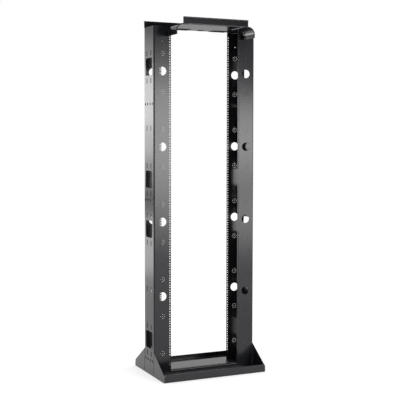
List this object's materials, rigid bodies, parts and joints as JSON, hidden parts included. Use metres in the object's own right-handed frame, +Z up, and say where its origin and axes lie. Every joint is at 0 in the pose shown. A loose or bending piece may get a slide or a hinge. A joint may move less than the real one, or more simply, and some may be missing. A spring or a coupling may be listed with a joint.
{
  "type": "two post open frame rack",
  "caption": "Open post rack for equipment: folded steel channels with columns of mounting holes, a gusseted tray base, and an overhead cable trough with curved waterfalls.",
  "frame": {"origin": "on the floor, under the middle of the rack's footprint", "axes": "+Z up, -Y out of the front, where equipment is bolted on, and +X to the right seen from the front"},
  "size_m": [0.673, 0.5144, 2.1776],
  "materials": {
    "black_powder_coat": "fine satin black powder coat"
  },
  "bodies": {
    "root": {"left_post": "black_powder_coat", "right_post": "black_powder_coat", "front_base_tray": "black_powder_coat", "rear_base_tray": "black_powder_coat", "front_left_gusset": "black_powder_coat", "front_right_gusset": "black_powder_coat", "rear_left_gusset": "black_powder_coat", "rear_right_gusset": "black_powder_coat", "base_cross_channel": "black_powder_coat", "base_cross_plate": "black_powder_coat", "front_left_base_clip": "black_powder_coat", "front_right_base_clip": "black_powder_coat", "rear_left_base_clip": "black_powder_coat", "rear_right_base_clip": "black_powder_coat", "left_top_clip": "black_powder_coat", "right_top_clip": "black_powder_coat", "trough_pan": "black_powder_coat", "left_waterfall": "black_powder_coat", "right_waterfall": "black_powder_coat"}
  },
  "joints": []
}
